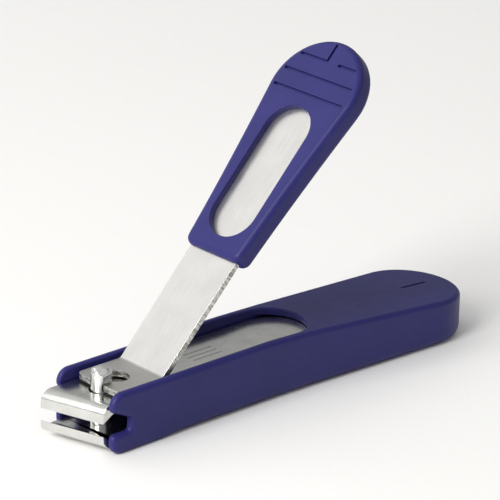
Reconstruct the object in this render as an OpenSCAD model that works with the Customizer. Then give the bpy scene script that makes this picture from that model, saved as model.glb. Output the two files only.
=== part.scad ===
// Nail clipper with a catcher case.
// Two spring steel blades with slanted jaws are riveted together at the rear. A hooked pin
// rises from the lower blade through the upper one and holds the cross-bar of a bent lever.
// The blades slide, as one unit, into a moulded case that catches the clippings.
// X runs from the jaws to the tail, Y runs across and Z is up. All sizes are in millimetres.

/* [Blades] */
// Width of both blades, and of their jaws
blade_w = 13; // [11:0.5:16]
// Thickness of the blade steel
blade_t = 1.6; // [1.3:0.05:2]
// Length of the blades behind the pin
blade_back = 64.7; // [56:0.5:78]
// Angle of the cutting edges, seen from above
slant = 17.5; // [0:0.5:22]
// Distance from the pin's axis forward to the middle of the cutting edges
edge_reach = 7; // [6:0.25:10]
// Gap between the cutting edges at rest
edge_gap = 2.47; // [1.5:0.1:3.5]
// Height of the lower jaw, from its underside to its cutting edge
lower_jaw_h = 2.68; // [2.2:0.1:3.5]
// Height of the upper jaw, from its top to its cutting edge
upper_jaw_h = 3.42; // [2.8:0.1:4.5]
// Lean of each jaw's front face, from its bend to its cutting edge
jaw_lean = 1; // [0:0.1:1.5]
// Height of the lower jaw's underside above the table
jaw_ground = 0.88; // [0.8:0.05:1.5]
// Rise of the upper blade from its jaw to its deck
deck_rise = 0.33; // [0:0.05:0.6]

/* [Pin and rivet] */
// Radius of the pin's shank
pin_r = 2; // [1.5:0.1:2.6]
// Height of the pin's head above the lever's cross-bar
pin_head_h = 2.5; // [1.5:0.1:3.5]
// Width of the rim of the pin's foot, around its shank under the lower blade
foot_rim = 1.2; // [0.8:0.1:2]
// Thickness of the pin's foot
foot_t = 0.7; // [0.4:0.05:0.75]
// Radius of the rear rivet's shank
rivet_r = 1.5; // [1:0.1:2]
// Radius of the rear rivet's two heads
rivet_head_r = 2.6; // [2.2:0.1:3.2]
// Thickness of each of the rear rivet's heads
rivet_head_t = 0.7; // [0.5:0.05:1]
// Distance from the rivet's axis to the blades' rear end
rivet_inset = 4; // [3.5:0.25:8]

/* [Lever] */
// Width that the lever gains by its end
lever_flare = 1.2; // [0:0.1:2]
// Thickness of the lever steel
lever_t = 1.22; // [1:0.05:1.6]
// Length of the flat plate, from its front edge to the bend
plate_l = 10.45; // [9:0.25:14]
// Angle of the raised arm above the plate
arm_angle = 46.5; // [30:0.5:55]
// Inner radius of the bend
bend_r = 1.2; // [0.6:0.1:2]
// Width of the cross-bar that the pin holds
crossbar_w = 1.95; // [1.5:0.05:2.5]
// Length of the oval hole behind the cross-bar
oval_l = 4.9; // [4.5:0.1:6]
// Length of bare arm, from the bend to the grip
arm_bare = 25; // [18:0.5:32]

/* [Grip] */
// Length of the moulded grip
grip_l = 47; // [38:0.5:58]
// Thickness of plastic beside the lever, at the grip's base
grip_side = 1.35; // [1:0.05:2.5]
// Distance from the grip's base to where its sides start to widen
grip_waist = 19.7; // [12:0.1:24]
// Width that the grip gains from its base to its rounded tip
grip_gain = 6.9; // [3:0.1:10]
// Thickness of plastic over the lever
grip_over = 1.4; // [1:0.1:2.2]
// Thickness of plastic under the lever
grip_under = 1.9; // [1.2:0.1:2.5]
// Distance from the grip's base to its window
window_inset = 3.5; // [2:0.25:6]
// Length of the window in the grip
window_l = 28.8; // [18:0.2:32]
// Width of steel hidden on each side of the grip's window
window_rim = 0.5; // [0.3:0.05:1.5]
// Width of each thumb groove
groove_w = 0.7; // [0.4:0.05:1]
// Depth of each thumb groove
groove_d = 0.5; // [0.2:0.05:0.8]
// Distance between the thumb grooves
groove_step = 3.7; // [2.5:0.1:4]
// Width of the break in the last thumb groove
groove_break = 2.7; // [1:0.1:5]
// Length of the groove that runs from the break to the grip's tip
groove_tip_l = 3.8; // [1:0.1:4]

/* [Case] */
// Length of the case
case_l = 93.3; // [84:0.1:115]
// Height of the case's walls above the upper blade's deck
case_rise = 2.12; // [1.8:0.02:4]
// Height of the case at its tail
tail_h = 8.6; // [6:0.1:10]
// Width that the case gains from its front to its rounded tail
tail_gain = 3.8; // [1.4:0.1:8]
// Thickness of the side walls
wall = 1.65; // [1.2:0.05:2.4]
// Thickness of the floor
floor_t = 1.3; // [0.8:0.05:1.35]
// Thickness of the roof behind the window
roof_t = 1.2; // [0.8:0.05:1.6]
// Length of the flat top, from the front
deck_l = 39; // [30:0.5:45]
// Length from the front to the rear end of the open window
case_window_l = 53.2; // [46:0.2:54]
// Distance that the case's front stands ahead of the pin's axis
case_reach = 4.2; // [2:0.1:5]
// Depth of the finger notches in the front of the walls
notch_depth = 4.4; // [2:0.1:6]
// Distance from the pin's axis back to the floor's front edge
floor_setback = 8.7; // [6:0.1:12]

/* [Fits] */
// Play on each side between the blades and the case
side_play = 0.35; // [0.2:0.05:0.6]
// Running clearance around the rear rivet's shank
rivet_play = 0.08; // [0.03:0.01:0.1]
// Play under the rear rivet's heads and between the blades
stack_play = 0.15; // [0.12:0.01:0.2]
// Clearance around the pin where it passes through the upper blade
pin_play = 0.35; // [0.2:0.05:0.6]
// Gap on each side between the lever's plate and the case's walls
lever_play = 0.85; // [0.5:0.05:1.5]
// Room around the pin's head in the oval hole
oval_play = 0.6; // [0.4:0.05:1]
// Gap between the fulcrum and the upper blade
fulcrum_play = 0.1; // [0.05:0.01:0.2]
// Fit between the lever and its grip
grip_fit = 0.05; // [0:0.01:0.1]

/* [Hidden] */
$fn = 96;
hull_fn = 32;
far = 200;
seam = 0.02;

plastic = [0.2, 0.19, 0.5];
steel = [0.78, 0.78, 0.76];
bright_steel = [0.88, 0.88, 0.87];

// Places along X, from the pin's axis at pin_x
pin_x = 1.3;
edge_x = pin_x - edge_reach;
blade_end_x = pin_x + blade_back;
rivet_x = blade_end_x - rivet_inset;
head_margin = 0.4;
pad_x = rivet_x - rivet_head_r - head_margin;
ramp_l = 9;
jaw_corner_x = edge_x - blade_w / 2 * tan(slant);
blank_x = jaw_corner_x - 1;
case_front_x = pin_x - case_reach;
case_tail_x = case_front_x + case_l;
bay_w = blade_w + 2 * side_play;
front_w = bay_w + 2 * wall;
tail_w = front_w + tail_gain;
tail_x = case_tail_x - tail_w / 2;
deck_end_x = case_front_x + deck_l;
flare_l = 11;
flare_x = deck_end_x + flare_l;
floor_x = pin_x + floor_setback;
origin_x = (min(jaw_corner_x, case_front_x) + case_tail_x) / 2;

// Heights of the jaws and of the blades
lower_edge_z = jaw_ground + lower_jaw_h;
upper_edge_z = lower_edge_z + edge_gap;
upper_jaw_z = upper_edge_z + upper_jaw_h;
deck_z = upper_jaw_z + deck_rise;
lower_run_z = floor_t + 0.3;
case_h = deck_z + case_rise;

// Widths of the lever and its grip, and of the case behind its flat top
lever_w = bay_w - 2 * lever_play;
grip_base_w = lever_w + 2 * grip_side;
grip_tip_w = grip_base_w + grip_gain;
window_w = lever_w - 2 * window_rim;
flare_gain = 0.6;
flare_w = front_w + flare_gain;
window_x = case_front_x + case_window_l - bay_w / 2;
bay_end_x = blade_end_x + 0.3;

// Rounding of the case's long edges
top_round = 1.5;
foot_round = 2.2;

// Height of the case's top at x
flare_drop = 0.45;
case_tops = [[case_front_x, case_h], [deck_end_x, case_h], [flare_x, case_h - flare_drop],
             [case_tail_x, tail_h]];
function top_z(x) = lookup(x, case_tops);
function ceiling_z(x) = top_z(x) - roof_t;

// Middle of the riveted joint, set by the room under the roof
roof_play = 0.4;
joint_z = ceiling_z(rivet_x) - roof_play - rivet_head_t - blade_t - 1.5 * stack_play;
upper_pad_z = joint_z + stack_play / 2;
lower_pad_z = joint_z - stack_play / 2;

// Pin's foot, and the oval hole that its head passes through
foot_r = pin_r + foot_rim;
oval_w = 2 * (pin_r + oval_play);

// The lever's plate and bend
plate_z = deck_z + fulcrum_play;
plate_x = pin_x - crossbar_w / 2 + 0.03;
bend_x = plate_x + plate_l;
bend_cut = bend_r * tan(arm_angle / 2);
crossbar_z = plate_z + lever_t / 2;
lever_travel = 11;
lever_end_w = lever_w + lever_flare;
grip_end_l = arm_bare + grip_l;
grip_tip_l = grip_end_l - grip_tip_w / 2;
lever_setback = 3.5;
lever_end_l = grip_tip_l - lever_setback;

// Rounding of the grip's edges, as a share of the plastic above or below the lever
grip_round = 0.8;

// Points of an arc about [cx, cy]
function arc(cx, cy, r, from, to, steps = 8) =
    [for (i = [0 : steps]) let (a = from + (to - from) * i / steps) [cx + r * cos(a), cy + r * sin(a)]];

// Extrudes an outline drawn in X and Z to a width across Y
module across(width) {
    rotate([90, 0, 0])
        linear_extrude(height = width, center = true)
            children();
}

// Puts its children on the raised arm: X runs up the arm, Z = 0 is the arm's top face
module on_arm() {
    translate([bend_x, 0, plate_z + lever_t])
        rotate([0, -arm_angle, 0])
            children();
}

// Moves the model to its origin, under the middle of its length
module placed() {
    translate([-origin_x, 0, 0])
        children();
}

// ---- Blades ----

// Turns its children so that Y runs along the cutting edge
module along_edge() {
    translate([edge_x, 0, 0])
        rotate([0, 0, slant])
            children();
}

// Outlines for a jaw are drawn as [distance behind the edge, depth from the blade's outer face]
// and put at height base, with depth running up (up = 1) or down (up = -1)
module jaw_shape(outline, base, up) {
    along_edge()
        across(2 * blade_w)
            polygon([for (p = outline) [p[0], base + up * p[1]]]);
}

// Everything ahead of the jaw's front face and its rounded bend
jaw_bend_r = 0.9;
jaw_bend_x = jaw_lean + 0.75 * jaw_bend_r;
function jaw_front(h) = concat(
    [[-far, -far], [-far, far], [0, far], [0, h]],
    arc(jaw_bend_x, jaw_bend_r, jaw_bend_r, 200, 270, 6),
    [[jaw_bend_x, -far]]
);

// The hollow behind the jaw's wall, down to the inner face of the blade
wall_end = jaw_lean + blade_t + 0.15;
block_margin = 0.3;
hollow_end = wall_end + blade_w * sin(slant) + 2 * block_margin;
edge_land = 0.12;
bevel_h = 1.2;
hollow_relief = 0.05;
function jaw_hollow(h) = [
    [edge_land, far], [edge_land, h], [jaw_lean + blade_t / 2, h - bevel_h],
    [wall_end, blade_t - hollow_relief], [hollow_end, blade_t - hollow_relief], [hollow_end, far]
];

// Blade seen from above, with its rear corners cut off
module blade_plan() {
    corner = 2.5;
    half = blade_w / 2;
    polygon([
        [blank_x, -half], [blade_end_x - corner, -half], [blade_end_x, -half + corner],
        [blade_end_x, half - corner], [blade_end_x - corner, half], [blank_x, half]
    ]);
}

// A blade from the line of its outer face. Its jaw is cut from a block h deep at the front.
module blade(outer, up, h) {
    block_x = edge_x + (wall_end + block_margin) / cos(slant) + blade_w / 2 * tan(slant);
    inner = [for (i = [len(outer) - 1 : -1 : 1]) outer[i] + [0, up * blade_t]];
    base = outer[0][1];
    block = [[block_x, base + up * blade_t], [block_x, base + up * h], [outer[0][0], base + up * h]];
    intersection() {
        difference() {
            across(blade_w + 2) polygon(concat(outer, inner, block));
            jaw_shape(jaw_front(h), base, up);
            jaw_shape(jaw_hollow(h), base, up);
        }
        linear_extrude(height = far, center = true) blade_plan();
    }
}

// Outer faces of the two blades, from the jaws to the rear. The upper one rises to its deck between
// the pin and the lever's fulcrum, and the lower one rises clear of the case's floor.
rise_start_x = pin_x + pin_r + 1.2;
rise_end_x = bend_x - 1.5;
foot_margin = 0.3;
floor_margin = 0.6;
upper_line = [
    [blank_x, upper_jaw_z], [rise_start_x, upper_jaw_z], [rise_end_x, deck_z],
    [pad_x - ramp_l, deck_z], [pad_x, upper_pad_z + blade_t], [blade_end_x + 1, upper_pad_z + blade_t]
];
lower_line = [
    [blank_x, jaw_ground], [pin_x + foot_r + foot_margin, jaw_ground],
    [floor_x + floor_margin, lower_run_z],
    [pad_x, lower_pad_z - blade_t], [blade_end_x + 1, lower_pad_z - blade_t]
];

module upper_blade() {
    color(steel)
        difference() {
            blade(upper_line, -1, upper_jaw_h);
            translate([pin_x, 0, 0])
                cylinder(h = 2 * deck_z, r = pin_r + pin_play);
            translate([rivet_x, 0, 0])
                cylinder(h = 2 * deck_z, r = rivet_r + rivet_play);
        }
}

module lower_blade() {
    color(steel)
        difference() {
            blade(lower_line, 1, lower_jaw_h);
            translate([pin_x, 0, 0])
                cylinder(h = 2 * deck_z, r = pin_r);
            translate([rivet_x, 0, 0])
                cylinder(h = 2 * deck_z, r = rivet_r + rivet_play);
        }
}

module rear_rivet() {
    top = upper_pad_z + blade_t + stack_play;
    bottom = lower_pad_z - blade_t - stack_play;
    face_r = rivet_head_r - 0.4;
    color(bright_steel)
        translate([rivet_x, 0, 0]) {
            translate([0, 0, bottom])
                cylinder(h = top - bottom, r = rivet_r);
            translate([0, 0, top - seam])
                cylinder(h = rivet_head_t, r1 = rivet_head_r, r2 = face_r);
            translate([0, 0, bottom - rivet_head_t + seam])
                cylinder(h = rivet_head_t, r1 = face_r, r2 = rivet_head_r);
        }
}

// The slot clears the cross-bar's corners through the whole press of the lever
module pin() {
    slot_play = 0.15;
    slot_h = lever_t * cos(lever_travel) + crossbar_w * sin(lever_travel) + 2 * slot_play;
    slot_reach = (crossbar_w * cos(lever_travel) + lever_t * sin(lever_travel)) / 2 + slot_play;
    crossbar_x = plate_x + crossbar_w / 2;
    head_top = crossbar_z + slot_h / 2 + pin_head_h;
    dome = 0.7;
    foot_chamfer = 0.3;
    color(bright_steel)
        difference() {
            translate([pin_x, 0, jaw_ground])
                union() {
                    translate([0, 0, -foot_t])
                        cylinder(h = foot_t, r1 = foot_r - foot_chamfer, r2 = foot_r);
                    cylinder(h = head_top - dome - jaw_ground, r = pin_r);
                    translate([0, 0, head_top - dome - jaw_ground - seam])
                        cylinder(h = dome + seam, r1 = pin_r, r2 = pin_r - dome);
                }
            translate([crossbar_x - slot_reach, -far / 2, crossbar_z - slot_h / 2])
                cube([far, far, slot_h]);
        }
}

// ---- Lever ----

// Side view of the bent lever: plate, bend and arm
module lever_side() {
    top = plate_z + lever_t;
    centre = [bend_x - bend_cut, top + bend_r];
    up_arm = [cos(arm_angle), sin(arm_angle)];
    arm_end = [bend_x, top] + (lever_end_l + 1) * up_arm;
    through = lever_t * [sin(arm_angle), -cos(arm_angle)];
    polygon(concat(
        [[plate_x, top], [plate_x, plate_z]],
        arc(centre[0], centre[1], bend_r + lever_t, 270, 270 + arm_angle, 12),
        [arm_end + through, arm_end],
        arc(centre[0], centre[1], bend_r, 270 + arm_angle, 270, 12)
    ));
}

// Plate seen from above, with rounded front corners, carried past the bend
module plate_plan() {
    corner = 1.2;
    half = lever_w / 2;
    union() {
        translate([plate_x + corner, -half])
            square([plate_l - corner + 2, lever_w]);
        translate([plate_x, -half + corner])
            square([corner + seam, lever_w - 2 * corner]);
        for (side = [-1, 1])
            translate([plate_x + corner, side * (half - corner)])
                circle(r = corner);
    }
}

// Arm in its own plane, wider towards its rounded end; grow adds room around it
module arm_plan(grow = 0) {
    half = lever_w / 2 + grow;
    end_half = lever_end_w / 2 + grow;
    corner = 4;
    start = 1;
    straight = lever_end_l - corner;
    polygon(concat(
        [[start, -half]],
        arc(straight, -end_half + corner + grow, corner + grow, -90, 0, 6),
        arc(straight, end_half - corner - grow, corner + grow, 0, 90, 6),
        [[start, half]]
    ));
}

module lever_arm() {
    color(steel)
        difference() {
            intersection() {
                across(2 * lever_w) lever_side();
                union() {
                    linear_extrude(height = 2 * plate_z)
                        plate_plan();
                    on_arm()
                        translate([0, 0, -lever_w])
                            linear_extrude(height = 2 * lever_w)
                                arm_plan();
                }
            }
            translate([plate_x + crossbar_w + oval_l / 2, 0, 0])
                linear_extrude(height = 2 * plate_z)
                    scale([oval_l / oval_w, 1])
                        circle(r = oval_w / 2);
        }
}

// One rounded end of the grip: two rings of corner balls, drawn at length l
module grip_end(l, half_w) {
    over_r = grip_over * grip_round;
    under_r = grip_under * grip_round;
    for (side = [-1, 1]) {
        translate([l, side * (half_w - over_r), grip_over - over_r])
            sphere(r = over_r, $fn = hull_fn);
        translate([l, side * (half_w - under_r), -lever_t - grip_under + under_r])
            sphere(r = under_r, $fn = hull_fn);
    }
}

// The rounded tip of the grip: two rings with round edges
module grip_tip() {
    over_r = grip_over * grip_round;
    under_r = grip_under * grip_round;
    tip_r = grip_tip_w / 2;
    translate([grip_tip_l, 0, grip_over - over_r])
        rotate_extrude($fn = 2 * hull_fn)
            translate([tip_r - over_r, 0])
                circle(r = over_r, $fn = hull_fn);
    translate([grip_tip_l, 0, -lever_t - grip_under + under_r])
        rotate_extrude($fn = 2 * hull_fn)
            translate([tip_r - under_r, 0])
                circle(r = under_r, $fn = hull_fn);
}

module grip_body() {
    waist_l = arm_bare + grip_waist;
    waist_in = 0.15;
    waist_half = (grip_base_w + grip_tip_w) / 4 - waist_in;
    base_l = arm_bare + grip_under * grip_round;
    hull() {
        grip_end(base_l, grip_base_w / 2);
        grip_end(waist_l, waist_half);
    }
    hull() {
        grip_end(waist_l, waist_half);
        grip_tip();
    }
}

// Window outline with round ends
module grip_window() {
    r = window_w / 2;
    translate([arm_bare + window_inset + r, -r])
        square([window_l - window_w, window_w]);
    for (l = [r, window_l - r])
        translate([arm_bare + window_inset + l, 0])
            circle(r = r);
}

// Three thumb grooves across the grip. The last is broken, and a short one runs from there to the tip.
module grip_grooves() {
    first_l = grip_tip_l - 1.3;
    last_l = first_l + 2 * groove_step;
    translate([0, 0, grip_over - groove_d]) {
        for (l = [first_l, first_l + groove_step])
            translate([l - groove_w / 2, -far / 2, 0])
                cube([groove_w, far, far]);
        for (y = [-far - groove_break, 0])
            translate([last_l - groove_w / 2, y, 0])
                cube([groove_w, far, far]);
        translate([last_l, 0, 0])
            cube([groove_tip_l, groove_w, far]);
    }
}

module lever_grip() {
    color(plastic)
        on_arm()
            difference() {
                grip_body();
                translate([0, 0, -lever_t - grip_fit])
                    linear_extrude(height = lever_t + 2 * grip_fit)
                        arm_plan(grip_fit);
                linear_extrude(height = far)
                    grip_window();
                grip_grooves();
            }
}

// ---- Case ----

// One station of the case's outside: four corner balls at length x
module case_station(x, half_w, top) {
    for (side = [-1, 1]) {
        translate([x, side * (half_w - top_round), top - top_round])
            sphere(r = top_round, $fn = hull_fn);
        translate([x, side * (half_w - foot_round), foot_round])
            sphere(r = foot_round, $fn = hull_fn);
    }
}

// The rounded tail: a level ring below and a ring that follows the sloping top
module case_tail() {
    r = tail_w / 2;
    top_inset = 0.2;
    slope = atan((top_z(flare_x) - tail_h) / (case_tail_x - flare_x));
    translate([tail_x, 0, foot_round])
        rotate_extrude($fn = 2 * hull_fn)
            translate([r - foot_round, 0])
                circle(r = foot_round, $fn = hull_fn);
    translate([tail_x, 0, top_z(tail_x) - top_round])
        rotate([0, slope, 0])
            rotate_extrude($fn = 2 * hull_fn)
                translate([r - top_round - top_inset, 0])
                    circle(r = top_round, $fn = hull_fn);
}

module case_outside() {
    front_x = case_front_x + foot_round;
    hull() {
        case_station(front_x, front_w / 2, case_h);
        case_station(case_front_x + top_round, front_w / 2, case_h);
        case_station(deck_end_x, front_w / 2, case_h);
    }
    hull() {
        case_station(deck_end_x, front_w / 2, case_h);
        case_station(flare_x, flare_w / 2, top_z(flare_x));
    }
    hull() {
        case_station(flare_x, flare_w / 2, top_z(flare_x));
        case_tail();
    }
}

// Side view of the case, which shapes the front lobes and the finger notch between them
module case_side() {
    lobe_r = 2.8;
    foot_lobe_r = 2.2;
    lobe_tip_r = 0.6;
    foot_tip_r = 0.5;
    notch_r = 0.9;
    notch_low = 3.95;
    notch_high = 8.2;
    notch_slope = 1.3;
    notch_x = case_front_x + notch_depth;
    polygon(concat(
        [[far, -1], [case_front_x + foot_lobe_r, -1]],
        arc(case_front_x + foot_lobe_r, foot_lobe_r, foot_lobe_r, 270, 180),
        arc(case_front_x + foot_tip_r, notch_low - foot_tip_r, foot_tip_r, 180, 90, 3),
        arc(notch_x - notch_r, notch_low + notch_r, notch_r, 270, 360, 4),
        arc(notch_x - notch_r, notch_high - notch_slope - notch_r, notch_r, 0, 70, 4),
        arc(case_front_x + lobe_tip_r, notch_high + lobe_tip_r, lobe_tip_r, 250, 180, 3),
        arc(case_front_x + lobe_r, case_h - lobe_r, lobe_r, 180, 90),
        [[case_front_x + lobe_r, far], [far, far]]
    ));
}

// Space inside the case: the open bay, its round rear end and the room under the roof
module case_bay() {
    bay_front_x = case_front_x - 1;
    translate([bay_front_x, -bay_w / 2, -1])
        cube([floor_x - bay_front_x, bay_w, far]);
    translate([floor_x - seam, -bay_w / 2, floor_t])
        cube([window_x - floor_x + seam, bay_w, far]);
    translate([window_x, 0, floor_t])
        cylinder(h = far, r = bay_w / 2);
    across(bay_w)
        polygon([
            [window_x - seam, floor_t], [bay_end_x, floor_t], [bay_end_x, ceiling_z(bay_end_x)],
            [window_x - seam, ceiling_z(window_x)]
        ]);
}

// Two ribs on the floor that carry the lower blade's rear half
module case_ribs() {
    rib_w = 1.2;
    rib_y = rivet_head_r + 1.6;
    rib_gap = 0.15;
    rib_l = 14;
    rib_root = 0.3;
    rib_front_x = pad_x - rib_l;
    rib_end_x = bay_end_x + rib_root;
    function blade_under(x) = lookup(x, lower_line) - rib_gap;
    for (side = [-1, 1])
        translate([0, side * rib_y, 0])
            across(rib_w)
                polygon([
                    [rib_front_x, floor_t - rib_root], [rib_end_x, floor_t - rib_root],
                    [rib_end_x, blade_under(blade_end_x)], [pad_x, blade_under(pad_x)],
                    [rib_front_x, blade_under(rib_front_x)]
                ]);
}

// Short groove along the top of the tail
module tail_mark() {
    mark_l = 7.5;
    mark_setback = 2.5;
    mark_x = tail_x - mark_setback;
    translate([mark_x, -groove_w / 2, top_z(mark_x + mark_l) - groove_d])
        cube([mark_l, groove_w, far]);
}

module case() {
    color(plastic)
        union() {
            difference() {
                intersection() {
                    case_outside();
                    across(far) case_side();
                }
                case_bay();
                tail_mark();
            }
            case_ribs();
        }
}

placed() case();
placed() upper_blade();
placed() lower_blade();
placed() rear_rivet();
placed() pin();
placed() lever_arm();
placed() lever_grip();
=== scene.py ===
"""Looks of a nail clipper with a catcher case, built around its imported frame.

Each piece is drawn in millimetres on a bench whose X runs back from the pin's axis, whose Y runs
across and whose Z is up. The bench then places it in the frame, in metres.
"""

import logging
import math
from collections.abc import Callable, Sequence
from dataclasses import dataclass, replace
from enum import Enum
from typing import Any

import bmesh
import bpy
from bmesh.types import BMEdge, BMesh, BMFace, BMVert
from mathutils import Matrix, Vector


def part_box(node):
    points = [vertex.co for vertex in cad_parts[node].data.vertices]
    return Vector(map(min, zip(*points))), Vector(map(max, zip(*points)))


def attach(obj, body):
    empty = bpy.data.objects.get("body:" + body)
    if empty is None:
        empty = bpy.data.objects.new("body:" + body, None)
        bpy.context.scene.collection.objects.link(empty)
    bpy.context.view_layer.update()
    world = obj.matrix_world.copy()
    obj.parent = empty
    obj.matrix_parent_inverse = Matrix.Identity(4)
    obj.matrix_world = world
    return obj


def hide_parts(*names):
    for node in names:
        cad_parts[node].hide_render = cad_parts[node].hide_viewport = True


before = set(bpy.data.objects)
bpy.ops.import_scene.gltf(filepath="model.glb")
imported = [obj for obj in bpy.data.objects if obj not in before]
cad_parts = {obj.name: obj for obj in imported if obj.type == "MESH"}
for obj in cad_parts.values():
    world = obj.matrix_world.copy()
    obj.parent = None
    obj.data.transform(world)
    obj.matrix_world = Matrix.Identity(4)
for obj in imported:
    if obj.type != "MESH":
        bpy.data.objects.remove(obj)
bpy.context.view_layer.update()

log = logging.getLogger("nail_clipper")

Outline = list[tuple[float, float]]
Place = tuple[float, float, float]
Colour = tuple[float, float, float]

MM = 0.001  # metres in a millimetre
FAR = 60.0  # well outside the clipper, in millimetres
NEAR = 0.01  # gap within which two places count as one
MERGE = 1e-4  # gap within which corners are merged
ON_PLANE = 1e-6  # gap within which a corner lies on a cutting plane
SHARP_ANGLE = 38  # turn between two faces from which their edge shades as sharp, in degrees
ROUND_STEPS = 48  # steps round a bore or a turned piece
MARK_X = 24.5  # middle of the etched mark behind the pin's axis, in millimetres


class Axis(Enum):
    """Direction that an outline is extruded in, or that a grain runs in."""

    X = Vector((1, 0, 0))
    Y = Vector((0, 1, 0))
    Z = Vector((0, 0, 1))


class Skin(Enum):
    """Which of a piece's materials a face takes, as its material index."""

    FACE = 0
    EDGE = 1


# ---- Drawing and modelling ----


def arc(centre: tuple[float, float], radius: float, start: float, end: float, steps: int) -> Outline:
    """Gives points along an arc.

    Args:
        centre: Middle of the arc.
        radius: Radius of the arc.
        start: Angle of the first point, in degrees.
        end: Angle of the last point, in degrees.
        steps: Number of equal steps between them.

    Returns:
        The points, from the first to the last.
    """
    turns = [math.radians(start + (end - start) * i / steps) for i in range(steps + 1)]
    return [(centre[0] + radius * math.cos(a), centre[1] + radius * math.sin(a)) for a in turns]


def circle(x: float, radius: float) -> Outline:
    """Gives points round a circle whose middle is on the X axis."""
    return arc((x, 0), radius, 0, 360, ROUND_STEPS)[:-1]


def rectangle(x0: float, y0: float, x1: float, y1: float) -> Outline:
    """Gives the corners of a rectangle from two opposite ones."""
    return [(x0, y0), (x1, y0), (x1, y1), (x0, y1)]


def mirrored(half: Outline) -> Outline:
    """Closes an outline that is drawn on one side of the X axis and ends on it."""
    return half + [(x, -y) for x, y in reversed(half[:-1])]


def stands_at(edge: BMEdge, x: float) -> bool:
    """Says whether an edge runs up and down at x."""
    low, high = (vert.co for vert in edge.verts)
    return abs(low.z - high.z) > NEAR and abs(low.x - x) < NEAR and abs(high.x - x) < NEAR


def lookup(x: float, table: Sequence[tuple[float, float]]) -> float:
    """Interpolates along a table.

    Args:
        x: Place to read the table at.
        table: Pairs of place and value, in rising order of place.

    Returns:
        The value at x, held level past the ends.
    """
    if x <= table[0][0]:
        return table[0][1]
    for (x0, v0), (x1, v1) in zip(table, table[1:]):
        if x <= x1:
            return v0 + (v1 - v0) * (x - x0) / (x1 - x0)
    return table[-1][1]


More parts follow.
